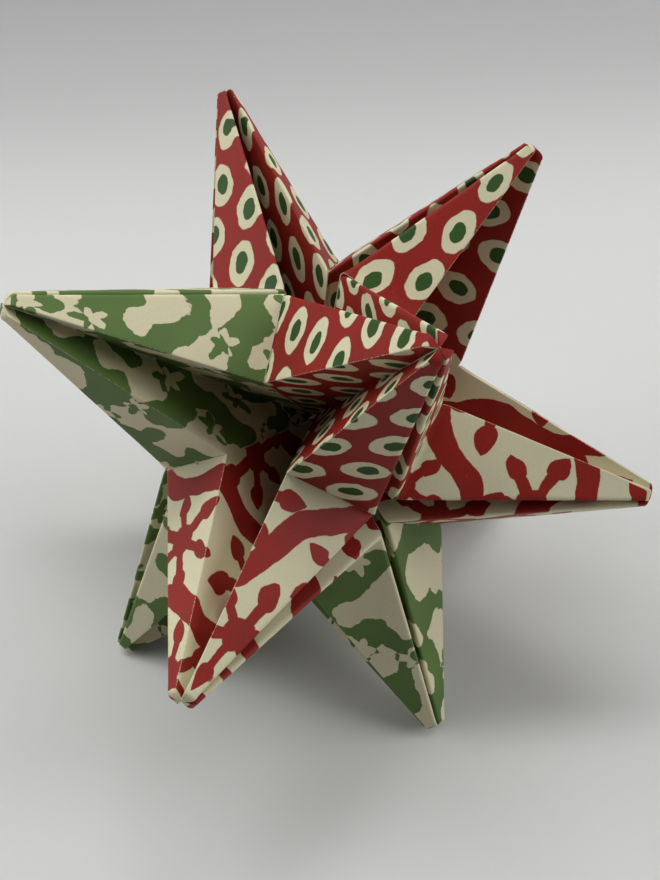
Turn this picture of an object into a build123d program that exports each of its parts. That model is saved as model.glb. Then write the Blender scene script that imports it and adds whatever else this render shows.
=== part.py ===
from build123d import *
import os
from math import cos, sin, tau

# Origami star with twelve points, standing on four of them, millimetres, +Z up.
# Each point is one square sheet, folded so that its centre is the tip.
# A sheet has four hollow arms. An arm is a three-sided tube: an outer face, a wall on the
# side of the square groove and a wall on the side of the triangular pit.
# Each arm runs down to a seam, where it meets an arm of the next sheet. One of the two
# goes over, and the other has a tab that tucks in under it.

# The star
star_reach = 106.0          # from the centre of the star to a point's blunt end
tip_blunt = 9.0             # taken off the ideal point by the blunt end
tip_round = 1.6             # of a point's length in the bevel round its blunt end
tip_round_share = 0.7       # of the blunt end's width that the bevel leaves flat
tip_layers = 5.0            # of a point's length past the bevel, filled by the folded paper
core_clear = 3.5            # from the centre to where the sheets' corners stop
foot_flat = 0.7             # pressed off the four lower points, where the star stands

# The paper and its folds
paper = 0.3                 # thickness
valley_set_off = 0.4        # of a valley fold from the axis of its point
ridge_round = 1.6           # how far the rounding of a ridge reaches from its line, at the seam
ridge_steps = 3             # flat strips in that rounding
tuck_length = 7.5           # of a tab past its seam
tuck_root = 1.5             # of a tab before its seam, where it grows out of its sheet
tuck_side_gap = 3.0         # between a tab's sides and the folds beside it
slip_gap = 0.06             # between a tab and the face that covers it
seam_gap = 0.12             # between two sheets that meet edge to edge

# The ends of a seam. At the groove it is measured up the axis of the groove and out from it.
groove_node_up = 49.95
groove_node_out = 5.92
# At the pit it is measured along the middle line between two points and beside it
pit_node_along = 52.0
pit_node_beside = 3.9

# How far each hand-folded point leans, as shares of star_reach along X, Y and Z
lean_shares = {
    "top_back": (0.07, -0.015, 0.01),
    "top_right": (-0.015, -0.005, -0.025),
    "top_front": (0, 0.02, 0.025),
    "top_left": (-0.045, -0.025, -0.035),
    "mid_front_left": (0.035, -0.025, -0.015),
    "mid_front_right": (-0.03, 0.005, -0.02),
    "mid_back_left": (0.075, 0.045, 0.05),
    "mid_back_right": (-0.015, 0.01, -0.01),
    "low_left": (-0.025, 0.005, 0),
    "low_front": (0.035, 0.005, 0),
    "low_right": (-0.01, 0.01, 0),
    "low_back": (0.01, -0.015, 0),
}

# How far the end of a seam is off its place, as shares of star_reach, at the groove and the pit
slip_shares = {
    ("top_left", "top_front"): ((-0.03, 0.02, 0.01), (0, 0, 0)),
    ("top_left", "mid_front_left"): ((-0.01, -0.005, -0.005), (0.03, -0.02, -0.015)),
    ("top_front", "mid_front_left"): ((0, 0, 0), (-0.02, 0, -0.01)),
    ("top_right", "top_front"): ((0.045, 0, 0.03), (-0.01, 0.025, 0.025)),
    ("top_front", "mid_front_right"): ((-0.015, 0.015, 0.005), (-0.005, 0.02, 0.02)),
    ("top_right", "mid_front_right"): ((0, 0, 0), (-0.025, 0.005, -0.015)),
    ("top_back", "top_left"): ((-0.01, -0.01, -0.02), (0.025, 0, 0.01)),
    ("top_back", "top_right"): ((0.035, -0.015, 0), (-0.03, -0.01, -0.02)),
    ("top_back", "mid_back_left"): ((0, 0, 0), (0.04, -0.02, 0)),
    ("mid_front_left", "low_front"): ((0.015, -0.01, 0), (0, -0.04, -0.03)),
    ("mid_front_right", "low_front"): ((-0.035, 0.025, 0.005), (0, 0, 0)),
}

# The three points round each pit. Each sheet goes over the next one, in this order.
pits = [
    ("top_left", "top_front", "mid_front_left"),
    ("top_right", "top_front", "mid_front_right"),
    ("top_left", "top_back", "mid_back_left"),
    ("top_back", "top_right", "mid_back_right"),
    ("low_front", "low_left", "mid_front_left"),
    ("low_front", "low_right", "mid_front_right"),
    ("low_left", "low_back", "mid_back_left"),
    ("low_right", "low_back", "mid_back_right"),
]

# Where each point looks, as shares of a full turn: the turn about Z from +X, and the rise
bearing_shares = {
    "top_back": (2 / 8, 1 / 8),
    "top_right": (0, 1 / 8),
    "top_front": (6 / 8, 1 / 8),
    "top_left": (4 / 8, 1 / 8),
    "mid_front_left": (5 / 8, 0),
    "mid_front_right": (7 / 8, 0),
    "mid_back_left": (3 / 8, 0),
    "mid_back_right": (1 / 8, 0),
    "low_left": (4 / 8, -1 / 8),
    "low_front": (6 / 8, -1 / 8),
    "low_right": (0, -1 / 8),
    "low_back": (2 / 8, -1 / 8),
}

centre = Vector(0, 0, 0)
fold_reach = star_reach + tip_blunt
far = 2 * star_reach


def true_direction(name):
    """The direction of a point that doesn't lean."""
    turn, rise = (tau * share for share in bearing_shares[name])
    return Vector(cos(rise) * cos(turn), cos(rise) * sin(turn), sin(rise))


def shifted(place, shares):
    """A place moved by shares of the star's reach."""
    return place + Vector(*shares) * star_reach


def apex(name):
    """The ideal sharp point of a sheet, where all its folds meet."""
    return shifted(true_direction(name) * fold_reach, lean_shares[name])


def square_axis(first, second):
    """The axis of the square groove that two neighbouring points share."""
    both = true_direction(first) + true_direction(second)
    sizes = [abs(both.X), abs(both.Y), abs(both.Z)]
    signs = [both.X, both.Y, both.Z]
    shared = sizes.index(max(sizes))
    return Vector(*[(1 if signs[i] > 0 else -1) if i == shared else 0 for i in range(3)])


def seam_ends(first, second):
    """The two ends of the seam between neighbours, at the groove and at the pit."""
    middle = (true_direction(first) + true_direction(second)).normalized()
    square = square_axis(first, second)
    out = (middle - square * middle.dot(square)).normalized()
    beside = (square - middle * square.dot(middle)).normalized()
    slips = slip_shares.get((first, second)) or slip_shares.get((second, first))
    groove_slip, pit_slip = slips or ((0, 0, 0), (0, 0, 0))
    groove_end = square * groove_node_up + out * groove_node_out
    pit_end = middle * pit_node_along - beside * pit_node_beside
    return shifted(groove_end, groove_slip), shifted(pit_end, pit_slip)


def plane_through(place, one, other, towards):
    """The plane through three places, its normal on the side of a fourth."""
    normal = (one - place).cross(other - place).normalized()
    if normal.dot(towards - place) < 0:
        normal = -normal
    return Plane(origin=place, z_dir=normal)


def moved_in(plane, distance):
    """A plane moved along its normal."""
    return Plane(origin=plane.origin + plane.z_dir * distance, z_dir=plane.z_dir)


def kept(solid, plane):
    """The part of a solid on the side of a plane that its normal points to."""
    return solid.split(plane, keep=Keep.TOP)


def polygon(places):
    """A flat face through places."""
    return Face(Wire.make_polygon(places, close=True))


def neighbours(name):
    """The four neighbours of a point in order round it, a groove after the first and third."""
    pairs = []
    for pit in pits:
        if name in pit:
            pairs.append([other for other in pit if other != name])
    (one, two), (three, four) = pairs
    if square_axis(name, two).dot(square_axis(name, three)) > 0:
        return [two, three, four, one]
    return [two, four, three, one]


def axis_towards_centre(name):
    """The direction from a point's tip to the centre of the star."""
    return (centre - apex(name)).normalized()


def valley_place(name, one, other):
    """Where the valley between two arms ends: beside the axis, on the side of its gap."""
    axis = axis_towards_centre(name)
    between = true_direction(one) + true_direction(other)
    outward = (between - axis * between.dot(axis)).normalized()
    return centre - axis * core_clear + outward * valley_set_off


def ridge_places(groove_end, pit_end, valley):
    """Places at the seam on the folds that round a ridge, from the groove wall to the face."""
    on_wall = groove_end + (valley - groove_end).normalized() * ridge_round
    on_face = groove_end + (pit_end - groove_end).normalized() * ridge_round
    places = []
    for step in range(ridge_steps + 1):
        share = step / ridge_steps
        wall_part, corner_part, face_part = (1 - share) ** 2, 2 * share * (1 - share), share ** 2
        places.append(on_wall * wall_part + groove_end * corner_part + on_face * face_part)
    return places


def arm_folds(name, arm, groove_valley):
    """Places at the seam on the folds of one arm, from the groove to the pit."""
    groove_end, pit_end = seam_ends(name, arm)
    return ridge_places(groove_end, pit_end, groove_valley) + [pit_end]


def hollow(name, arm, groove_valley, pit_valley):
    """The room inside one arm: within every panel by the thickness of the paper."""
    tip = apex(name)
    axis = axis_towards_centre(name)
    groove_end, pit_end = seam_ends(name, arm)
    inside = (groove_end + pit_end + centre) * (1 / 3)
    corners = [groove_valley] + arm_folds(name, arm, groove_valley) + [pit_valley]
    room = Box(far, far, far).moved(Location(tip + (inside - tip).normalized() * far / 2))
    for one, other in zip(corners, corners[1:]):
        room = kept(room, moved_in(plane_through(tip, one, other, inside), paper))
    return kept(room, Plane(origin=tip + axis * (tip_blunt + tip_round + tip_layers), z_dir=axis))


def tuck(over, under):
    """The tab of the lower sheet beneath the face of the upper one, and the slot that it needs."""
    groove_end, pit_end = seam_ends(over, under)
    along = (pit_end - groove_end).normalized()
    upper = plane_through(apex(over), groove_end, pit_end, centre).z_dir
    lower = plane_through(apex(under), groove_end, pit_end, centre).z_dir
    past = along.cross(lower)
    past = past if past.dot(groove_end - apex(under)) > 0 else -past
    up = along.cross(upper)
    up = up if up.dot(apex(over) - groove_end) > 0 else -up
    corners = [groove_end + along * tuck_side_gap, pit_end - along * tuck_side_gap]
    steep = past.dot(upper)

    # The lower face runs on past the seam until it meets the tab
    root_end = (2 * paper + slip_gap) / steep
    root = strip(corners, past, -tuck_root, root_end, lower * paper)

    # The tab lies against the inside of the upper face, and narrows as that does
    start = [corner + past * ((paper + slip_gap) / steep) - up * paper / 2 for corner in corners]
    end = [place + (apex(over) - place).normalized() * tuck_length for place in start]
    leaf = Solid.extrude(polygon([start[0], end[0], end[1], start[1]]), upper * paper)
    wide = [corners[0] - along * slip_gap, corners[1] + along * slip_gap]
    wide = [corner - lower * slip_gap for corner in wide]
    slot = strip(wide, past, -tuck_root, root_end + slip_gap, lower * (2 * paper + slip_gap))
    return root.fuse(leaf), slot


def strip(ends, direction, first, last, thickness):
    """A flat strip beside the line between two places, from one distance to another."""
    one, other = ends
    places = [one + direction * first, one + direction * last, other + direction * last]
    return Solid.extrude(polygon(places + [other + direction * first]), thickness)


def sheet(name):
    """One folded sheet."""
    tip = apex(name)
    axis = axis_towards_centre(name)
    arms = neighbours(name)
    valleys = [valley_place(name, arms[i], arms[(i + 1) % 4]) for i in range(4)]
    folds = []
    rooms = []
    for i, arm in enumerate(arms):
        groove_after = i % 2 == 0
        groove_valley = valleys[i] if groove_after else valleys[i - 1]
        pit_valley = valleys[i - 1] if groove_after else valleys[i]
        places = arm_folds(name, arm, groove_valley)
        folds += places[::-1] if groove_after else places
        folds.append(valleys[i])
        rooms.append(hollow(name, arm, groove_valley, pit_valley))

    # Flat panels that all run from the tip, which is cut off blunt with a bevel round the cut
    depth = (centre - tip).length - core_clear
    base = [tip + (fold - tip) * (depth / (fold - tip).dot(axis)) for fold in folds]
    bevel_start = tip + axis * (tip_blunt + tip_round)
    bevel = [tip + (place - tip) * ((tip_blunt + tip_round) / depth) for place in base]
    blunt = [tip + axis * tip_blunt + (place - bevel_start) * tip_round_share for place in bevel]
    panels = [polygon(base), polygon(blunt)]
    for i in range(len(base)):
        panels.append(polygon([base[i - 1], base[i], bevel[i], bevel[i - 1]]))
        panels.append(polygon([bevel[i - 1], bevel[i], blunt[i], blunt[i - 1]]))
    body = Solid(Shell(panels))

    # Each arm ends at its seam, and is hollow
    for arm in arms:
        seam = plane_through(centre, *seam_ends(name, arm), tip)
        body = kept(body, moved_in(seam, seam_gap / 2))
    # Round each of its two pits it goes over one neighbour, and under the other
    tabs = []
    for pit in pits:
        if name in pit:
            place = pit.index(name)
            rooms.append(tuck(name, pit[(place + 1) % 3])[1])
            tabs.append(tuck(pit[place - 1], name)[0])
    return body.cut(*rooms).fuse(*tabs).solid()


os.makedirs("parts", exist_ok=True)
sheets = {name: sheet(name) for name in bearing_shares}
feet = [name for name in bearing_shares if name.startswith("low")]
floor_height = max(sheets[name].bounding_box().min.Z for name in feet) + foot_flat
floor = Plane(origin=(0, 0, floor_height), z_dir=(0, 0, 1))
for name in feet:
    sheets[name] = kept(sheets[name], floor)

# The origin is on the ground, under the middle of the whole star
whole = Compound(children=[Part(body.wrapped) for body in sheets.values()]).bounding_box()
middle = whole.center()
to_ground = Location((-middle.X, -middle.Y, -whole.min.Z))
for name, body in sheets.items():
    body = body.moved(to_ground)
    body.label = "point_" + name
    export_step(body, "parts/" + body.label + ".step")
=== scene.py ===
"""Dresses the folded-paper star: one printed sheet for each of its twelve points, in a plain studio."""

import logging
import math
from dataclasses import dataclass, field
from enum import Enum

import bpy
import numpy as np
from mathutils import Matrix, Vector, noise


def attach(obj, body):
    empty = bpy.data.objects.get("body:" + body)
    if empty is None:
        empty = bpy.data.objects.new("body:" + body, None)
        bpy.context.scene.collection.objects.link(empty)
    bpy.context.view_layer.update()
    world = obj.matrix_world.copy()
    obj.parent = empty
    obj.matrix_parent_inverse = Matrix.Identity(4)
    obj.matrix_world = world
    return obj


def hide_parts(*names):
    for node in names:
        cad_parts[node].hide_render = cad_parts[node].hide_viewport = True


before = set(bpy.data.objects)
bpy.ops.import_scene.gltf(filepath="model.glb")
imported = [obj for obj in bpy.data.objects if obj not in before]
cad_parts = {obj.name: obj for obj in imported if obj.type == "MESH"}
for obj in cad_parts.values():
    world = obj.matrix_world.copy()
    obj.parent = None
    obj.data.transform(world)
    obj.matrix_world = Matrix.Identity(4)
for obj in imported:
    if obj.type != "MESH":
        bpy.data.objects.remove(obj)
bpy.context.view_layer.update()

MM = 0.001
SHEET_MAP = "sheet"
SHEET_SIDE = 150.0
FlatPlace = tuple[float, float]
log = logging.getLogger("star")


class Paper(Enum):
    """The three printed papers, by the record's material slots."""

    RED_OVALS = "red_oval_paper"
    CREAM_SPRIGS = "cream_branch_paper"
    GREEN_LEAVES = "green_leaf_paper"


def unit(v: np.ndarray) -> np.ndarray:
    """A vector scaled to length one."""
    return v / np.linalg.norm(v)


def ripple(place: np.ndarray, pitch: float, seed: float) -> float:
    """Smooth noise from about -1 to 1.

    Args:
        place: Where it is read, in mm.
        pitch: Size of its waves, in mm.
        seed: Picks one field of noise.

    Returns:
        The value there, the same in each run.
    """
    x, y, z = place / pitch
    return noise.noise(Vector((x + seed, y - seed, z + 3.1 * seed)))


@dataclass(frozen=True)
class StarPlan:
    """Where the points and seams of the star lie, in mm from its centre, as in the part's source."""

    centre: tuple[float, float, float] = (2.633, -0.823, 76.357)
    star_reach: float = 106.0
    tip_blunt: float = 9.0
    tip_round: float = 1.6
    core_clear: float = 1.4
    valley_set_off: float = 0.4
    groove_node: tuple[float, float] = (49.95, 5.92)
    pit_node: tuple[float, float] = (52.0, 3.9)

    def direction(self, name: str) -> np.ndarray:
        """The direction of a point that doesn't lean."""
        turn, rise = (math.radians(angle) for angle in BEARINGS[name])
        return np.array([math.cos(rise) * math.cos(turn), math.cos(rise) * math.sin(turn), math.sin(rise)])

    def apex(self, name: str) -> np.ndarray:
        """The ideal sharp point of a sheet, where all its folds meet."""
        lean = np.array(LEANS[name]) * self.star_reach
        return self.direction(name) * (self.star_reach + self.tip_blunt) + lean

    def square_axis(self, first: str, second: str) -> np.ndarray:
        """The axis of the square groove that two neighbours share."""
        both = self.direction(first) + self.direction(second)
        axis = np.zeros(3)
        shared = int(np.argmax(np.abs(both)))
        axis[shared] = math.copysign(1, both[shared])
        return axis

    def seam(self, first: str, second: str) -> tuple[np.ndarray, np.ndarray]:
        """The two ends of the seam between neighbours.

        Args:
            first: One point.
            second: Its neighbour.

        Returns:
            The end at the groove and the end at the pit.
        """
        middle = unit(self.direction(first) + self.direction(second))
        square = self.square_axis(first, second)
        out = unit(middle - square * middle.dot(square))
        beside = unit(square - middle * square.dot(middle))
        groove_slip, pit_slip = SLIPS.get((first, second)) or SLIPS.get((second, first)) or NO_SLIP
        groove_end = square * self.groove_node[0] + out * self.groove_node[1]
        pit_end = middle * self.pit_node[0] - beside * self.pit_node[1]
        return (
            groove_end + np.array(groove_slip) * self.star_reach,
            pit_end + np.array(pit_slip) * self.star_reach,
        )

    def neighbours(self, name: str) -> list[str]:
        """The four neighbours in order round a point, with a groove after the first and the third."""
        (one, two), (three, four) = [[other for other in pit if other != name] for pit in PITS if name in pit]
        if self.square_axis(name, two).dot(self.square_axis(name, three)) > 0:
            return [two, three, four, one]
        return [two, four, three, one]

    def goes_over(self, name: str, other: str) -> bool:
        """Whether a sheet's raw edge lies over its neighbour's arm."""
        pit = next(pit for pit in PITS if name in pit and other in pit)
        return pit[(pit.index(name) + 1) % 3] == other

    def valley(self, name: str, one: str, other: str) -> np.ndarray:
        """Where the valley between the arms to two neighbours ends, near the centre."""
        axis = -unit(self.apex(name))
        between = self.direction(one) + self.direction(other)
        outward = unit(between - axis * between.dot(axis))
        return -axis * self.core_clear + outward * self.valley_set_off


# Turn about Z from +X and rise of each point, in degrees
BEARINGS: dict[str, tuple[float, float]] = {
    "top_back": (90, 45),
    "top_right": (0, 45),
    "top_front": (270, 45),
    "top_left": (180, 45),
    "mid_front_left": (225, 0),
    "mid_front_right": (315, 0),
    "mid_back_left": (135, 0),
    "mid_back_right": (45, 0),
    "low_left": (180, -45),
    "low_front": (270, -45),
    "low_right": (0, -45),
    "low_back": (90, -45),
}

# How far each hand-folded point leans, in shares of the star's reach
LEANS: dict[str, tuple[float, float, float]] = {
    "top_back": (0.07, -0.015, 0.01),
    "top_right": (-0.015, -0.005, -0.025),
    "top_front": (0, 0.02, 0.025),
    "top_left": (-0.045, -0.025, -0.035),
    "mid_front_left": (0.035, -0.025, -0.015),
    "mid_front_right": (-0.03, 0.005, -0.02),
    "mid_back_left": (0.075, 0.045, 0.05),
    "mid_back_right": (-0.015, 0.01, -0.01),
    "low_left": (-0.025, 0.005, 0),
    "low_front": (0.035, 0.005, 0),
    "low_right": (-0.01, 0.01, 0),
    "low_back": (0.01, -0.015, 0),
}

# How far each end of a seam is off its place, in shares of the star's reach, at the groove and the pit
SLIPS: dict[tuple[str, str], tuple[tuple[float, float, float], tuple[float, float, float]]] = {
    ("top_left", "top_front"): ((-0.03, 0.02, 0.01), (0, 0, 0)),
    ("top_left", "mid_front_left"): ((-0.01, -0.005, -0.005), (0.03, -0.02, -0.015)),
    ("top_front", "mid_front_left"): ((0, 0, 0), (-0.02, 0, -0.01)),
    ("top_right", "top_front"): ((0.045, 0, 0.03), (-0.01, 0.025, 0.025)),
    ("top_front", "mid_front_right"): ((-0.015, 0.015, 0.005), (-0.005, 0.02, 0.02)),
    ("top_right", "mid_front_right"): ((0, 0, 0), (-0.025, 0.005, -0.015)),
    ("top_back", "top_left"): ((-0.01, -0.01, -0.02), (0.025, 0, 0.01)),
    ("top_back", "top_right"): ((0.035, -0.015, 0), (-0.03, -0.01, -0.02)),
    ("top_back", "mid_back_left"): ((0, 0, 0), (0.04, -0.02, 0)),
    ("mid_front_left", "low_front"): ((0.015, -0.01, 0), (0, -0.04, -0.03)),
    ("mid_front_right", "low_front"): ((-0.035, 0.025, 0.005), (0, 0, 0)),
}
NO_SLIP = ((0, 0, 0), (0, 0, 0))

# The three points round each pit. Each sheet goes over the next one, in this order.
PITS: list[tuple[str, str, str]] = [
    ("top_left", "top_front", "mid_front_left"),
    ("top_right", "top_front", "mid_front_right"),
    ("top_left", "top_back", "mid_back_left"),
    ("top_back", "top_right", "mid_back_right"),
    ("low_front", "low_left", "mid_front_left"),
    ("low_front", "low_right", "mid_front_right"),
    ("low_left", "low_back", "mid_back_left"),
    ("low_right", "low_back", "mid_back_right"),
]


@dataclass
class Wiring:
    """Adds and joins shader nodes in one node tree."""

    tree: bpy.types.NodeTree

    def node(self, kind: str, **settings: object) -> bpy.types.Node:
        """A new node with its settings."""
        made = self.tree.nodes.new(kind)
        for key, value in settings.items():
            setattr(made, key, value)
        return made

    def put(self, socket: bpy.types.NodeSocket, value: object) -> None:
        """Links a socket to another, or sets its value."""
        if isinstance(value, bpy.types.NodeSocket):
            self.tree.links.new(value, socket)
        else:
            socket.default_value = value

    def math(self, operation: str, *values: object, clamp: bool = False) -> bpy.types.NodeSocket:
        """A Math node's result."""
        made = self.node("ShaderNodeMath", operation=operation, use_clamp=clamp)
        for socket, value in zip(made.inputs, values):
            self.put(socket, value)
        return made.outputs[0]

    def vector(self, operation: str, *values: object) -> bpy.types.NodeSocket:
        """A Vector Math node's result."""
        made = self.node("ShaderNodeVectorMath", operation=operation)
        for socket, value in zip(made.inputs, values):
            self.put(socket, value)
        return made.outputs["Value" if operation in ("LENGTH", "DOT_PRODUCT") else "Vector"]

    def scaled(self, vector: object, factor: object) -> bpy.types.NodeSocket:
        """A vector times a number."""
        made = self.node("ShaderNodeVectorMath", operation="SCALE")
        self.put(made.inputs[0], vector)
        self.put(made.inputs["Scale"], factor)
        return made.outputs["Vector"]

    def turned(self, vector: object, angle: object) -> bpy.types.NodeSocket:
        """A vector turned about Z."""
        made = self.node("ShaderNodeVectorRotate", rotation_type="Z_AXIS")
        self.put(made.inputs["Vector"], vector)
        self.put(made.inputs["Angle"], angle)
        return made.outputs["Vector"]

    def parts(self, vector: object) -> tuple[bpy.types.NodeSocket, bpy.types.NodeSocket]:
        """The X and Y of a vector."""
        made = self.node("ShaderNodeSeparateXYZ")
        self.put(made.inputs[0], vector)
        return made.outputs["X"], made.outputs["Y"]

    def joined(self, x: object, y: object, z: object = 0.0) -> bpy.types.NodeSocket:
        """A vector from its parts."""
        made = self.node("ShaderNodeCombineXYZ")
        for socket, value in zip(made.inputs, (x, y, z)):
            self.put(socket, value)
        return made.outputs[0]

    def noise(self, vector: object, scale: float, detail: float = 2.0, rough: float = 0.5) -> bpy.types.Node:
        """A Noise Texture node."""
        made = self.node("ShaderNodeTexNoise")
        self.put(made.inputs["Vector"], vector)
        made.inputs["Scale"].default_value = scale
        made.inputs["Detail"].default_value = detail
        made.inputs["Roughness"].default_value = rough
        return made

    def chance(self, vector: object) -> bpy.types.Node:
        """A White Noise node, the same number all over one cell."""
        made = self.node("ShaderNodeTexWhiteNoise", noise_dimensions="3D")
        self.put(made.inputs["Vector"], vector)
        return made

    def ramp(
        self, value: object, start: object, end: object, low: object = 0.0, high: object = 1.0
    ) -> bpy.types.NodeSocket:
        """A smooth step from low to high while a value goes from start to end."""
        made = self.node("ShaderNodeMapRange", interpolation_type="SMOOTHSTEP")
        given = {"Value": value, "From Min": start, "From Max": end, "To Min": low, "To Max": high}
        for name, setting in given.items():
            self.put(made.inputs[name], setting)
        return made.outputs[0]

    def mix(self, share: object, one: object, other: object) -> bpy.types.NodeSocket:
        """One colour turning to another by a share."""
        made = self.node("ShaderNodeMix", data_type="RGBA")
        self.put(made.inputs["Factor"], share)
        self.put(made.inputs[6], one)
        self.put(made.inputs[7], other)
        return made.outputs[2]

    def centred(self, colour: object) -> bpy.types.NodeSocket:
        """Random parts from 0 to 1, moved to lie about zero."""
        return self.vector("SUBTRACT", colour, (0.5, 0.5, 0.5))

    def wobbled(self, vector: object, pitch: float, by: float) -> bpy.types.NodeSocket:
        """A vector moved about by noise.

        Args:
            vector: Coordinates in mm.
            pitch: Size of the waves in mm.
            by: How far they reach, in mm.

        Returns:
            The moved coordinates.
        """
        colour = self.noise(vector, 1 / pitch, 1.0).outputs["Color"]
        shift = self.scaled(self.centred(colour), 2 * by)
        return self.vector("ADD", vector, shift)


def new_group(
    name: str, inputs: list[tuple[str, str]], outputs: list[tuple[str, str]]
) -> tuple[bpy.types.NodeTree, Wiring]:
    """A node group with named sockets.

    Args:
        name: The group's name.
        inputs: Socket names and types.
        outputs: Socket names and types.

    Returns:
        The group and its wiring.
    """
    tree = bpy.data.node_groups.new(name, "ShaderNodeTree")
    for label, kind in inputs:
        tree.interface.new_socket(name=label, in_out="INPUT", socket_type=kind)
    for label, kind in outputs:
        tree.interface.new_socket(name=label, in_out="OUTPUT", socket_type=kind)
    return tree, Wiring(tree)


FLOAT, COLOUR, VECTOR = "NodeSocketFloat", "NodeSocketColor", "NodeSocketVector"
FULL_TURN = 6.28

# Colours in linear light
CREAM = (0.71, 0.67, 0.46, 1.0)
AGED_PAPER = (0.52, 0.42, 0.26, 1.0)
DARK_FIBRE = (0.36, 0.31, 0.2, 1.0)
RED = (0.27, 0.012, 0.008, 1.0)
DARK_GREEN = (0.024, 0.078, 0.013, 1.0)
LEAF_GREEN = (0.1, 0.175, 0.043, 1.0)
THICK_INK = (0.02, 0.01, 0.01, 1.0)

BUMP_STRENGTH = 0.35
BUMP_DEPTH = 0.12
PAPER_SHEEN = 0.16


def oval_print() -> bpy.types.NodeTree:
    """Staggered hand-cut ovals, each with an inked dot in it."""
    tree, w = new_group("Oval print", [("Sheet", VECTOR)], [("Ground", FLOAT), ("Accent", FLOAT)])
    start, end = w.node("NodeGroupInput"), w.node("NodeGroupOutput")
    across, along = 11.8, 17.6
    oval_half, dot_half = (4.5, 7.1), (2.15, 3.3)
    place = w.wobbled(w.wobbled(start.outputs["Sheet"], 3.8, 0.7), 1.0, 0.12)
    x, y = w.parts(place)
    column = w.math("FLOOR", w.math("DIVIDE", x, across))
    shift = w.math("MULTIPLY", w.math("MODULO", w.math("ABSOLUTE", column), 2.0), 0.5)
    drift = w.math("MULTIPLY", w.chance(w.joined(column, 7.0)).outputs["Value"], 0.16)
    height = w.math("ADD", w.math("DIVIDE", y, along), w.math("ADD", shift, drift))
    row = w.math("FLOOR", height)
    luck = w.chance(w.joined(column, row)).outputs["Color"]
    luck_x, luck_y = w.parts(w.centred(luck))
    local_x = w.math("SUBTRACT", x, w.math("MULTIPLY", w.math("ADD", column, 0.5), across))
    local_y = w.math("MULTIPLY", w.math("SUBTRACT", w.math("SUBTRACT", height, row), 0.5), along)
    nudged_x = w.math("ADD", local_x, w.math("MULTIPLY", luck_x, 0.9))
    nudged_y = w.math("ADD", local_y, w.math("MULTIPLY", luck_y, 1.4))
    local = w.turned(w.joined(nudged_x, nudged_y), w.math("MULTIPLY", luck_y, 0.5))
    size = w.math("ADD", 1.0, w.math("MULTIPLY", luck_x, 0.18))

    def oval(shape: object, half: tuple[float, float], point: float) -> bpy.types.NodeSocket:
        """Distance from the middle of an oval, 1 at its outline."""
        sx, sy = w.parts(shape)
        flat = w.math("POWER", w.math("ABSOLUTE", w.math("DIVIDE", sx, half[0])), 2.0)
        tall = w.math("POWER", w.math("ABSOLUTE", w.math("DIVIDE", sy, half[1])), point)
        return w.math("DIVIDE", w.math("ADD", flat, tall), size)

    cream = w.ramp(oval(local, oval_half, 1.7), 1.05, 0.95)
    dot_shift = w.joined(w.math("MULTIPLY", luck_y, 0.8), w.math("MULTIPLY", luck_x, 1.8))
    dot = w.ramp(oval(w.vector("ADD", local, dot_shift), dot_half, 2.0), 1.09, 0.93)
    w.put(end.inputs["Ground"], w.math("SUBTRACT", 1.0, cream))
    w.put(end.inputs["Accent"], w.math("MULTIPLY", dot, cream))
    return tree


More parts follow.
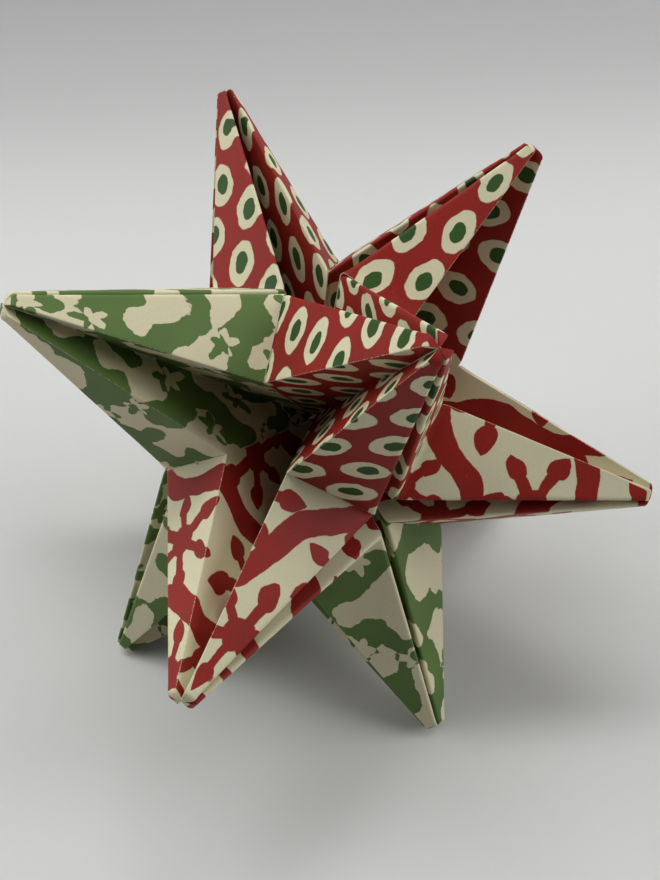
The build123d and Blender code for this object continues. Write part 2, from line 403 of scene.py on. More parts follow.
def sprig_print() -> bpy.types.NodeTree:
    """Bursts of stems with pointed buds, and wavy bands between their rows."""
    tree, w = new_group("Sprig print", [("Sheet", VECTOR)], [("Ground", FLOAT)])
    start, end = w.node("NodeGroupInput"), w.node("NodeGroupOutput")
    cell, sector = 34.0, math.radians(60.0)
    stem_half, stem_end, heart_round = 1.65, 10.4, 4.9
    bud_start, bud_long, bud_girth = 8.4, 7.6, 6.4
    band_half, band_wave, band_pitch = 3.8, 2.2, 5.6
    place = w.wobbled(w.wobbled(start.outputs["Sheet"], 9.0, 1.6), 1.3, 0.2)
    x, y = w.parts(place)
    row = w.math("FLOOR", w.math("DIVIDE", y, cell))
    odd_row = w.math("MODULO", w.math("ABSOLUTE", row), 2.0)
    slide = w.math("ADD", x, w.math("MULTIPLY", odd_row, cell / 2))
    column = w.math("FLOOR", w.math("DIVIDE", slide, cell))
    luck = w.chance(w.joined(column, row, 3.0))
    local_x = w.math("SUBTRACT", slide, w.math("MULTIPLY", w.math("ADD", column, 0.5), cell))
    local_y = w.math("SUBTRACT", y, w.math("MULTIPLY", w.math("ADD", row, 0.5), cell))
    reach = w.vector("LENGTH", w.joined(local_x, local_y))
    spin = w.math("MULTIPLY", luck.outputs["Value"], FULL_TURN)
    angle = w.math("ADD", w.math("ARCTAN2", local_y, local_x), spin)
    number = w.math("FLOOR", w.math("DIVIDE", angle, sector))
    turn = w.math("SUBTRACT", angle, w.math("MULTIPLY", w.math("ADD", number, 0.5), sector))
    fate = w.chance(w.joined(column, row, number)).outputs["Value"]
    size = w.math("ADD", 0.84, w.math("MULTIPLY", fate, 0.3))
    out = w.math("DIVIDE", w.math("MULTIPLY", reach, w.math("COSINE", turn)), size)
    aside = w.math("ABSOLUTE", w.math("DIVIDE", w.math("MULTIPLY", reach, w.math("SINE", turn)), size))
    stem = w.math(
        "MULTIPLY", w.ramp(aside, stem_half, stem_half - 0.25), w.ramp(out, stem_end, stem_end - 0.4)
    )
    share = w.math("DIVIDE", w.math("SUBTRACT", out, bud_start), bud_long, clamp=True)
    narrowing = w.math("POWER", w.math("SUBTRACT", 1.0, share), 0.8)
    girth = w.math("MULTIPLY", w.math("POWER", share, 0.42), narrowing)
    bud = w.ramp(w.math("SUBTRACT", aside, w.math("MULTIPLY", girth, bud_girth)), 0.0, -0.25)
    heart = w.ramp(reach, heart_round, heart_round - 0.4)
    wave = w.math("MULTIPLY", w.math("SINE", w.math("DIVIDE", x, band_pitch)), band_wave)
    edge = w.math("SUBTRACT", cell / 2, w.math("ABSOLUTE", w.math("ADD", local_y, wave)))
    band = w.ramp(w.math("ABSOLUTE", edge), band_half, band_half - 0.25)
    shape = w.math("MAXIMUM", w.math("MAXIMUM", stem, bud), w.math("MAXIMUM", heart, band))
    w.put(end.inputs["Ground"], shape)
    return tree


def leaf_print() -> bpy.types.NodeTree:
    """Rounded patches, counterchanged with small lobed leaves."""
    tree, w = new_group("Leaf print", [("Sheet", VECTOR)], [("Ground", FLOAT)])
    start, end = w.node("NodeGroupInput"), w.node("NodeGroupOutput")
    cell, patch_pitch, leaf_round, lobes_of_leaf = 17.0, 12.0, 2.9, 5.0
    place = w.wobbled(w.wobbled(start.outputs["Sheet"], 2.6, 0.7), 0.9, 0.14)
    patch = w.ramp(w.noise(place, 1 / patch_pitch, 0.6, 0.5).outputs["Fac"], 0.498, 0.506)
    x, y = w.parts(place)
    column = w.math("FLOOR", w.math("DIVIDE", x, cell))
    row = w.math("FLOOR", w.math("DIVIDE", y, cell))
    luck = w.chance(w.joined(column, row, 11.0))
    luck_x, luck_y = w.parts(w.centred(luck.outputs["Color"]))

    def from_middle(value: object, number: object, chance: object) -> bpy.types.NodeSocket:
        """How far a place is from the leaf of its cell, along one axis."""
        middle = w.math("ADD", 0.5, w.math("MULTIPLY", chance, 0.3))
        return w.math("SUBTRACT", value, w.math("MULTIPLY", w.math("ADD", number, middle), cell))

    local = w.joined(from_middle(x, column, luck_x), from_middle(y, row, luck_y))
    lx, ly = w.parts(w.turned(local, w.math("MULTIPLY", luck.outputs["Value"], FULL_TURN)))
    reach = w.vector("LENGTH", w.joined(w.math("MULTIPLY", lx, 0.7), w.math("MULTIPLY", ly, 1.2)))
    lobes = w.math("COSINE", w.math("MULTIPLY", w.math("ARCTAN2", ly, lx), lobes_of_leaf))
    lobed = w.math("ADD", 1.0, w.math("MULTIPLY", lobes, 0.36))
    outline = w.math("MULTIPLY", lobed, w.math("ADD", leaf_round, w.math("MULTIPLY", luck_x, 1.6)))
    leaf = w.ramp(w.math("SUBTRACT", reach, outline), 0.12, -0.12)
    shown = w.math("GREATER_THAN", luck.outputs["Value"], 0.3)
    counterchanged = w.math("SUBTRACT", patch, w.math("MULTIPLY", leaf, shown))
    w.put(end.inputs["Ground"], w.math("ABSOLUTE", counterchanged))
    return tree


def inked_paper() -> bpy.types.NodeTree:
    """Ink on soft paper: worn along folds, bare at the raw edge and back, with flecks where it missed."""
    inputs = [("Sheet", VECTOR), ("Ground", FLOAT), ("Accent", FLOAT)]
    inputs += [(name, COLOUR) for name in ("Paper", "Ink", "Second Ink")]
    inputs += [(name, FLOAT) for name in ("Fold", "Raw", "Back", "Flecks")]
    tree, w = new_group("Inked paper", inputs, [("Color", COLOUR), ("Roughness", FLOAT), ("Height", FLOAT)])
    start, end = w.node("NodeGroupInput"), w.node("NodeGroupOutput")
    take = start.outputs
    sheet = take["Sheet"]
    broad = w.noise(sheet, 1 / 22.0, 2.0).outputs["Fac"]
    fibre = w.noise(sheet, 1.6, 5.0, 0.65).outputs["Fac"]
    grain = w.noise(sheet, 3.2, 2.0).outputs["Fac"]
    patchy = w.ramp(w.noise(sheet, 1 / 7.0, 1.0).outputs["Fac"], 0.5, 0.66)
    crowded = w.math("MULTIPLY", w.math("MULTIPLY", patchy, take["Flecks"]), 0.09)
    fleck = w.ramp(grain, w.math("SUBTRACT", 0.79, crowded), 0.83)
    uneven = w.math("SUBTRACT", grain, 0.5)
    worn = w.ramp(w.math("ADD", take["Fold"], w.math("MULTIPLY", uneven, 0.9)), 0.2, -0.02)
    ragged = w.ramp(w.math("ADD", take["Raw"], w.math("MULTIPLY", uneven, 1.1)), 0.3, 0.12)
    rubbed = w.math("MAXIMUM", fleck, w.math("MULTIPLY", worn, 0.75))
    bare = w.math("MAXIMUM", rubbed, w.math("MAXIMUM", ragged, take["Back"]))
    inked = w.math("MAXIMUM", take["Ground"], take["Accent"])
    printed = w.math("MULTIPLY", inked, w.math("SUBTRACT", 1.0, bare), clamp=True)
    paper = w.mix(w.ramp(broad, 0.3, 0.7), take["Paper"], w.mix(0.12, take["Paper"], AGED_PAPER))
    paper = w.mix(w.ramp(fibre, 0.25, 0.75, 0.0, 0.16), paper, DARK_FIBRE)
    ink = w.mix(take["Accent"], take["Ink"], take["Second Ink"])
    ink = w.mix(w.ramp(broad, 0.35, 0.65, 0.0, 0.16), ink, THICK_INK)
    ink = w.mix(w.ramp(fibre, 0.3, 0.8, 0.0, 0.02), ink, take["Paper"])
    w.put(end.inputs["Color"], w.mix(printed, paper, ink))
    matt = w.ramp(fibre, 0.2, 0.8, 0.62, 0.78)
    w.put(end.inputs["Roughness"], w.math("SUBTRACT", matt, w.math("MULTIPLY", printed, 0.2)))
    relief = w.math("ADD", w.math("MULTIPLY", fibre, 0.55), w.math("MULTIPLY", printed, 0.35))
    w.put(end.inputs["Height"], relief)
    return tree


@dataclass(frozen=True)
class BlockPrint:
    """One block-printed paper: its print, its colours in linear light and how often the ink missed."""

    slot: Paper
    print_group: str
    paper: tuple[float, float, float, float]
    ink: tuple[float, float, float, float]
    second_ink: tuple[float, float, float, float]
    flecks: float

    def material(self) -> bpy.types.Material:
        """Builds the material of this paper."""
        made = bpy.data.materials.new(self.slot.value)
        made.use_nodes = True
        made.node_tree.nodes.clear()
        w = Wiring(made.node_tree)
        sheet = w.scaled(w.node("ShaderNodeUVMap", uv_map=SHEET_MAP).outputs["UV"], SHEET_SIDE)
        motif = w.node("ShaderNodeGroup", node_tree=bpy.data.node_groups[self.print_group])
        w.put(motif.inputs["Sheet"], sheet)
        inked = w.node("ShaderNodeGroup", node_tree=bpy.data.node_groups["Inked paper"])
        w.put(inked.inputs["Sheet"], sheet)
        for mask in motif.outputs:
            w.put(inked.inputs[mask.name], mask)
        for name, colour in (("Paper", self.paper), ("Ink", self.ink), ("Second Ink", self.second_ink)):
            inked.inputs[name].default_value = colour
        for name in ("Fold", "Raw", "Back"):
            measure = w.node("ShaderNodeAttribute", attribute_name=name.lower())
            w.put(inked.inputs[name], measure.outputs["Fac"])
        inked.inputs["Flecks"].default_value = self.flecks
        bump = w.node("ShaderNodeBump")
        bump.inputs["Strength"].default_value = BUMP_STRENGTH
        bump.inputs["Distance"].default_value = BUMP_DEPTH * MM
        w.put(bump.inputs["Height"], inked.outputs["Height"])
        shader = w.node("ShaderNodeBsdfPrincipled")
        shader.inputs["Specular IOR Level"].default_value = PAPER_SHEEN
        w.put(shader.inputs["Base Color"], inked.outputs["Color"])
        w.put(shader.inputs["Roughness"], inked.outputs["Roughness"])
        w.put(shader.inputs["Normal"], bump.outputs["Normal"])
        w.put(w.node("ShaderNodeOutputMaterial").inputs["Surface"], shader.outputs["BSDF"])
        return made


PRINTS: list[BlockPrint] = [
    BlockPrint(Paper.RED_OVALS, "Oval print", CREAM, RED, DARK_GREEN, 0.8),
    BlockPrint(Paper.CREAM_SPRIGS, "Sprig print", CREAM, RED, RED, 1.0),
    BlockPrint(Paper.GREEN_LEAVES, "Leaf print", CREAM, LEAF_GREEN, LEAF_GREEN, 0.7),
]


@dataclass
class Skin:
    """The outer skin of a sheet: its vertices by row and column, and its faces with their flat places."""

    places: list[np.ndarray] = field(default_factory=list)
    fold: list[float] = field(default_factory=list)
    raw: list[float] = field(default_factory=list)
    index: dict[tuple[int, int], int] = field(default_factory=dict)
    faces: list[tuple[int, ...]] = field(default_factory=list)
    flats: list[tuple[FlatPlace, ...]] = field(default_factory=list)

    def add(self, row: int, column: int, place: np.ndarray, crease: float, edge: float) -> None:
        """Adds one vertex.

        Args:
            row: Its row, from the tip to the seam.
            column: Its column, round the tip.
            place: Where it lies, in mm from the star's centre.
            crease: Its distance from a crease.
            edge: Its distance from the raw edge, over the bare margin.
        """
        self.index[row, column] = len(self.places)
        self.places.append(place)
        self.fold.append(crease)
        self.raw.append(edge)

    def at(self, row: int, column: int) -> np.ndarray:
        """Where the vertex of a row and column lies."""
        return self.places[self.index[row, column]]

    def open_edges(self) -> dict[tuple[int, int], tuple[FlatPlace, FlatPlace]]:
        """The edges that only one face has, with the flat places of their ends."""
        seen: dict[tuple[int, int], tuple[FlatPlace, FlatPlace]] = {}
        for face, flat in zip(self.faces, self.flats):
            for i in range(len(face)):
                j = (i + 1) % len(face)
                if (face[j], face[i]) in seen:
                    del seen[face[j], face[i]]
                else:
                    seen[face[i], face[j]] = (flat[i], flat[j])
        return seen

    def normals(self, middle: np.ndarray) -> np.ndarray:
        """The outward direction at each vertex. Turns all faces round if they look inwards.

        Args:
            middle: A place inside the skin, in mm from the star's centre.

        Returns:
            One direction of length one for each vertex.
        """
        places = np.array(self.places)
        sums = np.zeros_like(places)
        volume = 0.0
        for face in self.faces:
            a, b, c = places[face[0]], places[face[1]], places[face[2]]
            normal = np.cross(b - a, c - a)
            if len(face) == 4:
                normal = normal + np.cross(c - a, places[face[3]] - a)
            volume += normal.dot(a - middle)
            for corner in face:
                sums[corner] += normal
        if volume < 0:
            self.faces = [face[::-1] for face in self.faces]
            self.flats = [flat[::-1] for flat in self.flats]
            sums = -sums
        return sums / np.maximum(np.linalg.norm(sums, axis=1), 1e-9)[:, None]


@dataclass
class FoldedSheet:
    """One square sheet folded into a point with four hollow arms. Sizes in mm, dictionaries by neighbour."""

    name: str
    paper: Paper
    plan: StarPlan
    print_turn: float
    print_shift: tuple[float, float]
    bare_margins: dict[str, float]
    lifts: dict[str, float]
    arm_turns: dict[str, float]
    thickness: float = 0.3
    ridge_round: float = 1.9
    rim_round: float = 0.45
    rows: int = 30
    cap_rows: int = 5
    tuck: float = 3.0
    tuck_step_in: float = 0.35
    warp: float = 0.28
    warp_pitch: float = 17.0
    shiver: float = 0.07
    shiver_pitch: float = 5.0
    lift: float = 0.3
    lift_from: float = 6.0
    lift_pitch: float = 9.0
    sink: float = 0.42
    sink_from: float = 1.2
    bare_margin: float = 0.5
    no_raw_edge: float = 50.0

    panel_shares = (0.0, 0.03, 0.12, 0.28, 0.5, 0.72, 0.88, 0.97, 1.0)
    round_steps = 5
    tuck_steps = 2
    inner_depth = 40.0
    arch_pace = 1.15
    shiver_pace = 4
    dome_power = 0.7
    pole_crease = 0.6

    def __post_init__(self) -> None:
        """Looks up the sheet's place in the star."""
        self.tip = self.plan.apex(self.name)
        self.axis = -unit(self.tip)
        self.arms = self.plan.neighbours(self.name)
        self.valleys = [self.plan.valley(self.name, self.arms[i], self.arms[(i + 1) % 4]) for i in range(4)]
        self.seed = 5.0 + 1.7 * list(BEARINGS).index(self.name)

    def corners(self, arm: int) -> list[tuple[np.ndarray, float]]:
        """The four lines of an arm in order round the tip: a valley, two creases and a valley.

        Args:
            arm: The arm's number.

        Returns:
            Where each line ends, and how far its rounding reaches.
        """
        groove_end, pit_end = self.plan.seam(self.name, self.arms[arm])
        creases = [(groove_end, self.ridge_round), (pit_end, self.rim_round)]
        if arm % 2 == 0:
            creases.reverse()
        return [(self.valleys[arm - 1], 0.0), *creases, (self.valleys[arm], 0.0)]

    def inside(self, other: str) -> np.ndarray:
        """A place inside the arm that meets a neighbour."""
        groove_end, pit_end = self.plan.seam(self.name, other)
        return (groove_end + pit_end) / 3

    def section(self, arm: int, share: float) -> tuple[np.ndarray, np.ndarray]:
        """The outline of one arm across its length.

        Args:
            arm: The arm's number.
            share: How far down the arm, 0 at the ideal point and 1 at the seam.

        Returns:
            The places of the outline, and the distance of each from its nearest crease, in mm.
        """
        lines = self.corners(arm)
        at = [self.tip + (end - self.tip) * share for end, _ in lines]
        points: list[np.ndarray] = []
        creases: list[float] = []
        panels = [np.linalg.norm(b - a) for a, b in zip(at, at[1:])]
        rounds = [0.0] + [min(lines[i][1], 0.4 * panels[i - 1], 0.4 * panels[i]) for i in (1, 2)] + [0.0]
        for i in range(3):
            one, other = at[i], at[i + 1]
            way = unit(other - one)
            first, last = one + way * rounds[i], other - way * rounds[i + 1]
            for step, part in enumerate(self.panel_shares):
                if i > 0 and step == 0:
                    continue
                place = first + (last - first) * part
                points.append(place)
                folds = (one if i > 0 else other, other if i < 2 else one)
                creases.append(float(min(np.linalg.norm(place - corner) for corner in folds)))
            if i < 2:
                beyond = other + unit(at[i + 2] - other) * rounds[i + 1]
                for step in range(1, self.round_steps + 1):
                    t = step / self.round_steps
                    points.append(last * (1 - t) ** 2 + other * 2 * t * (1 - t) + beyond * t ** 2)
                    creases.append(abs(t - 0.5) * 2 * rounds[i + 1])
        return np.array(points), np.array(creases)

    def rows_of(self, arm: int) -> tuple[np.ndarray, np.ndarray, np.ndarray]:
        """The outer skin of one arm as a grid of places.

        Args:
            arm: The arm's number.

        Returns:
            Places by row and column from the blunt end to the seam, and the distances of each from a crease
            and from the raw edge.
        """
        other = self.arms[arm]
        start = self.plan.tip_blunt + self.plan.tip_round
        first = start / max((end - self.tip).dot(self.axis) for end, _ in self.corners(arm))
        shares = first + (1 - first) * np.linspace(0, 1, self.rows + 1)
        ends, _ = self.section(arm, 1.0)
        grid, creases = (np.array(part) for part in zip(*(self.section(arm, share) for share in shares)))
        places, raw = grid.copy(), np.zeros(creases.shape)
        # Rows start level, where the blunt end begins
        depth = (ends - self.tip) @ self.axis
        for column in range(places.shape[1]):
            begin = start / depth[column]
            for row in range(places.shape[0]):
                share = begin + (1 - begin) * row / self.rows
                lower = int(np.clip((share - first) / (1 - first) * self.rows, 0, self.rows - 1))
                part = (share - shares[lower]) / (shares[lower + 1] - shares[lower])
                places[row, column] = grid[lower, column] * (1 - part) + grid[lower + 1, column] * part
                raw[row, column] = np.linalg.norm(ends[column] - places[row, column])
        self._shape(places, raw, other)
        if self.plan.goes_over(self.name, other):
            raw /= self.bare_margins.get(other, self.bare_margin)
        else:
            raw[:] = self.no_raw_edge
        return places, creases, raw

    def _shape(self, places: np.ndarray, raw: np.ndarray, other: str) -> None:
        """Warps the panels a little, lifts a raw edge that lies over, and sinks an end that goes under.

        Args:
            places: Grid of places, changed in place.
            raw: Distance of each place from the end of the arm.
            other: The neighbour that the arm meets.
        """
        over, inside = self.plan.goes_over(self.name, other), self.inside(other)
        lift = self.lifts.get(other, self.lift)
        count = places.shape[1]
        steps = len(self.panel_shares) - 1
        for column in range(count):
            step = column % (steps + self.round_steps)
            share = self.panel_shares[step] if step <= steps else 0.0
            window = 4 * share * (1 - share)
            for row in range(places.shape[0]):
                place = places[row, column]
                along = row / self.rows
                out = unit(place - inside * (0.35 + 0.5 * along))
                arch = math.sin(math.pi * min(along * self.arch_pace, 1.0))
                bend = self.warp * window * arch * ripple(place, self.warp_pitch, self.seed)
                fade = min(along * self.shiver_pace, 1.0)
                shiver = self.shiver * fade * ripple(place, self.shiver_pitch, self.seed + 9)
                place += out * (bend + shiver)
                near_end = max(0.0, 1 - raw[row, column] / self.lift_from)
                if not over:
                    place -= out * self.sink * max(0.0, 1 - raw[row, column] / self.sink_from)
                elif 0 < column < count - 1:
                    uneven = 0.6 + 0.4 * ripple(place, self.lift_pitch, self.seed + 4)
                    place += out * lift * near_end**2 * uneven

    def build(self) -> bpy.types.Object:
        """Builds the sheet's mesh: a closed skin of the paper's thickness, with a map of the flat sheet.

        Returns:
            The mesh object, in metres in the row frame.
        """
        skin = Skin()
        grids = [self.rows_of(arm) for arm in range(4)]
        width = grids[0][0].shape[1] - 1
        for arm, (grid, creases, edges) in enumerate(grids):
            for column in range(width):
                before = grids[arm - 1][0][:, -1] if column == 0 else None
                for row in range(self.rows + 1):
                    place = grid[row, column] if before is None else (grid[row, 0] + before[row]) / 2
                    skin.add(row, arm * width + column, place, creases[row, column], edges[row, column])
        self._close_tip(skin, 4 * width)
        under = [arm for arm in range(4) if not self.plan.goes_over(self.name, self.arms[arm])]
        for arm in under:
            self._tuck_end(skin, arm, width)
        self._join(skin, width, under)
        return self._mesh(skin)

    def _close_tip(self, skin: Skin, columns: int) -> None:
        """Closes the blunt end in a low dome, with the pole as its last vertex."""
        height = self.plan.tip_round
        middle = self.tip + self.axis * (self.plan.tip_blunt + height)
        for step in range(1, self.cap_rows):
            angle = math.pi / 2 * step / self.cap_rows
            for column in range(columns):
                first = skin.at(0, column)
                flat = (first - middle) - self.axis * (first - middle).dot(self.axis)
                place = middle + flat * math.cos(angle) ** self.dome_power
                place = place - self.axis * height * math.sin(angle)
                crease = 0.35 + 0.5 * skin.fold[skin.index[0, column]]
                skin.add(-step, column, place, crease, self.no_raw_edge)
        pole = middle - self.axis * height
        skin.add(-self.cap_rows, 0, pole, self.pole_crease, self.no_raw_edge)

    def _tuck_end(self, skin: Skin, arm: int, width: int) -> None:
        """Runs an end that goes under on, inside the arm that covers it.

        Args:
            skin: The outer skin, which grows.
            arm: The arm's number.
            width: Columns of one arm.
        """
        other = self.arms[arm]
        inside, beyond = self.inside(other), self.plan.apex(other)
        for column in range(arm * width + 1, arm * width + width):
            end = skin.at(self.rows, column)
            for step in range(1, self.tuck_steps + 1):
                onward = unit(beyond - end) * self.tuck * step / self.tuck_steps
                inward = unit(inside - end) * self.tuck_step_in * step
                skin.add(self.rows + step, column, end + (onward + inward), 1.0, self.no_raw_edge)

    def _join(self, skin: Skin, width: int, under: list[int]) -> None:
        """Joins the vertices by faces and gives each corner its place on the flat sheet.

        Args:
            skin: The outer skin, which grows.
            width: Columns of one arm.
            under: The arms whose ends go under.
        """
        turns = self._turns()
        columns = 4 * width

        def flat_of(row: int, column: int, arm: int) -> FlatPlace:
            """Where a vertex lies on the flat sheet."""
            radius = np.linalg.norm(skin.at(min(max(row, 0), self.rows), column % columns) - self.tip)
            if row < 0:
                radius *= 1 + row / self.cap_rows
            elif row > self.rows:
                radius += self.tuck * (row - self.rows) / self.tuck_steps
            angle = turns[arm][column - arm * width]
            return float(radius * math.cos(angle)), float(radius * math.sin(angle))

        pole, top = skin.index[-self.cap_rows, 0], 1 - self.cap_rows
        for arm in range(4):
            begin, end = arm * width, (arm + 1) * width
            last = self.rows + self.tuck_steps if arm in under else self.rows
            for column in range(begin, end):
                after = column + 1
                for row in range(top, last):
                    if row >= self.rows and (column == begin or after == end):
                        continue
                    corners = [(row, column), (row, after), (row + 1, after), (row + 1, column)]
                    skin.faces.append(tuple(skin.index[r, c % columns] for r, c in corners))
                    skin.flats.append(tuple(flat_of(r, c, arm) for r, c in corners))
                skin.faces.append((skin.index[top, column], pole, skin.index[top, after % columns]))
                skin.flats.append((flat_of(top, column, arm), (0.0, 0.0), flat_of(top, after, arm)))

    def _turns(self) -> list[np.ndarray]:
        """The angle of each column about the tip on the flat sheet, counting the paper hidden in valleys."""
        spreads = []
        for arm in range(4):
            ends, _ = self.section(arm, 1.0)
            ways = (ends - self.tip) / np.linalg.norm(ends - self.tip, axis=1)[:, None]
            steps = np.arccos(np.clip((ways[1:] * ways[:-1]).sum(1), -1, 1))
            spreads.append(np.concatenate([[0.0], np.cumsum(steps)]))
        hidden = max(0.0, (2 * math.pi - sum(spread[-1] for spread in spreads)) / 4)
        turns, begin = [], self.print_turn
        for arm, spread in enumerate(spreads):
            turns.append(begin + spread + self.arm_turns.get(self.arms[arm], 0.0))
            begin += spread[-1] + hidden
        return turns

    def _mesh(self, skin: Skin) -> bpy.types.Object:
        """Thickens the outer skin inwards and makes the object.

        Args:
            skin: The outer skin, with its faces.

        Returns:
            The new object.
        """
        normals = skin.normals(self.tip + self.axis * self.inner_depth)
        places, raw = np.array(skin.places), np.array(skin.raw)
        count = len(places)
        inner = places - normals * self.thickness
        rim = skin.open_edges()
        whole = skin.faces + [tuple(v + count for v in face[::-1]) for face in skin.faces]
        maps = skin.flats + [flat[::-1] for flat in skin.flats]
        for (i, j), (at_i, at_j) in rim.items():
            whole.append((j, i, i + count, j + count))
            maps.append((at_j, at_i, at_i, at_j))
        everything = np.concatenate([places, inner]) + np.array(self.plan.centre)
        everything[:, 2] = np.maximum(everything[:, 2], 0.0)
        mesh = bpy.data.meshes.new("sheet_" + self.name)
        mesh.from_pydata((everything * MM).tolist(), [], [list(face) for face in whole])
        layer = mesh.uv_layers.new(name=SHEET_MAP)
        flat_values = np.array([at for face in maps for at in face]) + np.array(self.print_shift)
        layer.uv.foreach_set("vector", (flat_values / SHEET_SIDE).astype(np.float32).ravel())
        unfolded, front, back = np.full(count, 9.0), np.zeros(count), np.ones(count)
        for label, outer, under in (("fold", skin.fold, unfolded), ("raw", raw, raw), ("back", front, back)):
            attribute = mesh.attributes.new(label, "FLOAT", "POINT")
            attribute.data.foreach_set("value", np.concatenate([outer, under]).astype(np.float32))
        mesh.polygons.foreach_set("use_smooth", np.ones(len(whole), bool))
        mesh.update()
        rim_edges = {tuple(sorted(pair)) for pair in rim}
        rim_edges |= {tuple(sorted((i + count, j + count))) for i, j in rim}
        for edge in mesh.edges:
            if tuple(sorted(edge.vertices)) in rim_edges:
                edge.use_edge_sharp = True
        made = bpy.data.objects.new("sheet_" + self.name, mesh)
        bpy.context.scene.collection.objects.link(made)
        return made

    def dress(self, material: bpy.types.Material) -> bpy.types.Object:
        """Builds the sheet, gives it its paper and sets it in the frame."""
        piece = self.build()
        piece.data.materials.append(material)
        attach(piece, "root")
        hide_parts("point_" + self.name)
        log.info("sheet %s: %d faces", self.name, len(piece.data.polygons))
        return piece


@dataclass
class Star:
    """The twelve sheets, with the paper and the turn of the print on each."""

    plan: StarPlan = field(default_factory=StarPlan)

    def sheets(self) -> list[FoldedSheet]:
        """Lists the sheets."""
        red, cream, green = Paper.RED_OVALS, Paper.CREAM_SPRIGS, Paper.GREEN_LEAVES
        # Name, paper, turn and shift of the print, bare margins and lifts by neighbour
        table = [
            ("top_back", red, 0.4, (3.0, 5.0), {}, {}),
            ("top_right", red, 1.1, (1.0, 0.0), {}, {"top_front": 0.9}),
            ("top_front", red, 0.2, (0.0, 2.0), {}, {"top_left": 0.45}),
            ("top_left", green, 0.9, (31.0, 12.0), {}, {}),
            ("mid_front_left", cream, 2.1, (9.0, 4.0), {"top_left": 1.5}, {}),
            ("mid_front_right", cream, 0.5, (22.0, 9.0), {}, {}),
            ("mid_back_left", cream, 1.2, (17.0, 3.0), {}, {}),
            ("mid_back_right", green, 0.1, (61.0, 2.0), {}, {}),
            ("low_left", green, 1.5, (5.0, 45.0), {}, {}),
            ("low_front", green, 0.6, (88.0, 20.0), {}, {}),
            ("low_right", cream, 0.8, (13.0, 26.0), {}, {}),
            ("low_back", red, 1.9, (7.0, 3.0), {}, {}),
        ]
        # How far the print is turned further on an arm, by sheet and by the neighbour it meets
        turns = {
            "top_back": {"top_left": -1.22, "top_right": 0.09},
            "top_right": {"top_front": 1.28, "mid_front_right": -1.48, "top_back": 1.53},
            "top_front": {
                "top_left": 0.54,
                "mid_front_left": -1.35,
                "top_right": 1.16,
                "mid_front_right": -0.84,
            },
        }
        return [
            FoldedSheet(name, paper, self.plan, turn, shift, margins, lifts, turns.get(name, {}))
            for name, paper, turn, shift, margins, lifts in table
        ]

    def build(self) -> None:
        """Builds the prints and all the sheets."""
        for group in (oval_print, sprig_print, leaf_print, inked_paper):
            group()
        materials = {finish.slot: finish.material() for finish in PRINTS}
        for sheet in self.sheets():
            sheet.dress(materials[sheet.paper])


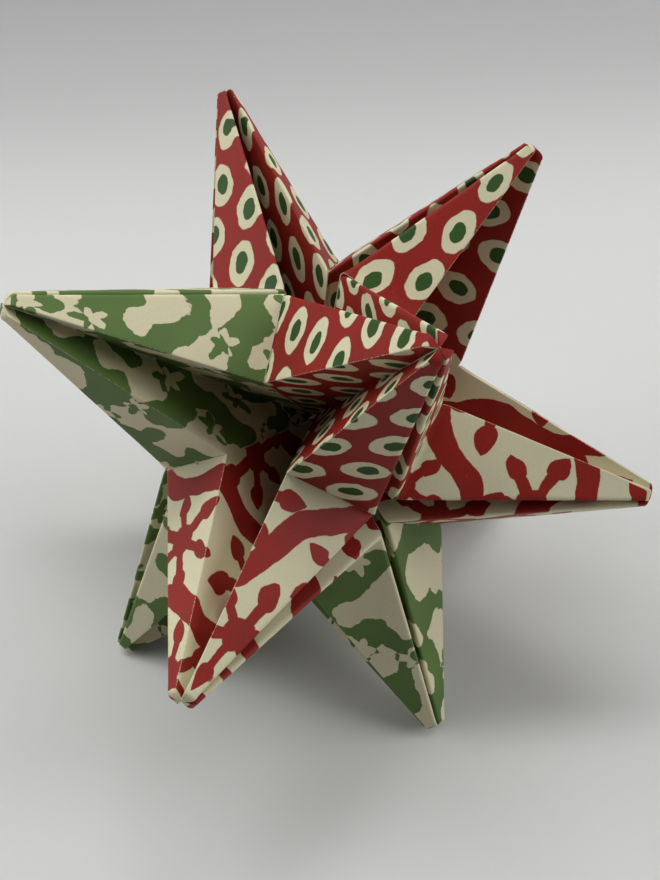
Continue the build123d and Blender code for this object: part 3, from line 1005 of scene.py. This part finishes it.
@dataclass
class Studio:
    """Pale floor and backdrop with painted shade darkening them towards the back, soft lamps, and the camera
    at the photograph's angle.
    """

    star: StarPlan = field(default_factory=StarPlan)
    camera_from_centre: tuple[float, float, float] = (-83.9, -210.4, 203.2)
    right: tuple[float, float, float] = (0.9042, -0.4248, -0.0446)
    down: tuple[float, float, float] = (-0.3217, -0.6087, -0.7252)
    ahead: tuple[float, float, float] = (0.2809, 0.6701, -0.6870)
    lens_pixels: float = 961.1
    picture: tuple[int, int] = (660, 880)
    floor_colour: tuple[float, float, float, float] = (0.63, 0.635, 0.625, 1.0)
    # Painted shade: the darker colour the floor turns to towards the back and on the backdrop, where lamp
    # light falls off
    falloff_shade_colour: tuple[float, float, float, float] = (0.41, 0.413, 0.41, 1.0)
    sky_colour: tuple[float, float, float, float] = (0.97, 0.98, 1.0, 1.0)
    sky_light: float = 0.02
    sky_seen: float = 0.58
    near_edge: float = -1.6
    bend_start: float = 0.42
    bend_round: float = 0.12
    wall_height: float = 1.6
    half_width: float = 1.8
    lamp_size: float = 0.9
    lamp_distance: float = 1.4
    lamp_aim: tuple[float, float, float] = (0, 0, 0.07)

    def camera(self) -> None:
        """Adds the camera."""
        data = bpy.data.cameras.new("camera")
        data.sensor_fit = "AUTO"
        data.sensor_width = 36.0
        data.lens = self.lens_pixels * data.sensor_width / max(self.picture)
        data.clip_start = 0.005
        held = bpy.data.objects.new("camera", data)
        axes = Matrix((self.right, [-v for v in self.down], [-v for v in self.ahead])).transposed()
        place = (Vector(self.star.centre) + Vector(self.camera_from_centre)) * MM
        held.matrix_world = Matrix.Translation(place) @ axes.to_4x4()
        bpy.context.scene.collection.objects.link(held)
        bpy.context.scene.camera = held

    def floor(self) -> None:
        """Adds the floor, which rises behind into a backdrop, with painted shade that darkens it towards the
        back.
        """
        start, bend = self.bend_start, self.bend_round
        profile = [(self.near_edge, 0.0), (start, 0.0)]
        for angle in np.linspace(0.15, math.pi / 2, 12):
            profile.append((start + bend * math.sin(angle), bend - bend * math.cos(angle)))
        profile.append((start + bend, self.wall_height))
        aim = Vector((self.ahead[0], self.ahead[1], 0)).normalized()
        side = Vector((aim.y, -aim.x, 0))
        places, faces = [], []
        for depth, rise in profile:
            for reach in (-self.half_width, self.half_width):
                places.append(aim * depth + side * reach + Vector((0, 0, rise)))
        for i in range(len(profile) - 1):
            faces.append((2 * i, 2 * i + 1, 2 * i + 3, 2 * i + 2))
        mesh = bpy.data.meshes.new("floor")
        mesh.from_pydata([tuple(place) for place in places], [], faces)
        mesh.polygons.foreach_set("use_smooth", np.ones(len(faces), bool))
        made = bpy.data.objects.new("floor", mesh)
        bpy.context.scene.collection.objects.link(made)
        material = bpy.data.materials.new("floor")
        material.use_nodes = True
        shader = material.node_tree.nodes["Principled BSDF"]
        w = Wiring(material.node_tree)
        place = w.node("ShaderNodeNewGeometry").outputs["Position"]
        # Painted shade: the colour darkens from the floor colour to the falloff shade colour towards the back
        # and up the backdrop, standing in for lamp light falling off
        away = w.ramp(w.vector("DOT_PRODUCT", place, tuple(aim)), 0.18, start + bend)
        w.put(shader.inputs["Base Color"], w.mix(away, self.floor_colour, self.falloff_shade_colour))
        shader.inputs["Roughness"].default_value = 0.7
        shader.inputs["Specular IOR Level"].default_value = 0.2
        mesh.materials.append(material)

    def lamps(self) -> None:
        """Adds soft lamps above, behind and low at both sides, and a faint sky that looks pale itself."""
        world = bpy.data.worlds.new("studio")
        world.use_nodes = True
        background = world.node_tree.nodes["Background"]
        background.inputs["Color"].default_value = self.sky_colour
        w = Wiring(world.node_tree)
        path = w.node("ShaderNodeLightPath").outputs
        mirrored = w.math("ADD", path["Is Glossy Ray"], path["Is Transmission Ray"])
        seen = w.math("ADD", path["Is Camera Ray"], mirrored, clamp=True)
        w.put(background.inputs["Strength"], w.math("MULTIPLY_ADD", seen, self.sky_seen, self.sky_light))
        bpy.context.scene.world = world
        # Name, turn and rise in degrees, power in watts
        for name, turn, rise, power in (
            ("right", 0, 60, 4.2),
            ("behind right", 60, 60, 18.8),
            ("behind left", 120, 60, 10.4),
            ("low left", 150, 25, 7.2),
            ("low right", 330, 25, 8.4),
        ):
            data = bpy.data.lights.new(name, "AREA")
            data.size = self.lamp_size
            data.energy = power
            turn, rise = math.radians(turn), math.radians(rise)
            away = Vector((math.cos(rise) * math.cos(turn), math.cos(rise) * math.sin(turn), math.sin(rise)))
            lamp = bpy.data.objects.new(name, data)
            lamp.location = Vector(self.lamp_aim) + away * self.lamp_distance
            lamp.rotation_euler = (-away).to_track_quat("-Z", "Y").to_euler()
            bpy.context.scene.collection.objects.link(lamp)

    def build(self) -> None:
        """Sets up the studio."""
        bpy.context.scene.view_settings.view_transform = "Standard"
        self.camera()
        self.floor()
        self.lamps()
        log.info("studio ready")


def main() -> None:
    """Builds the studio and the star, and keeps the model's hidden parts."""
    logging.basicConfig(level=logging.INFO, format="%(message)s")
    Studio().build()
    Star().build()
    bpy.context.view_layer.update()


if __name__ == "__main__":
    main()
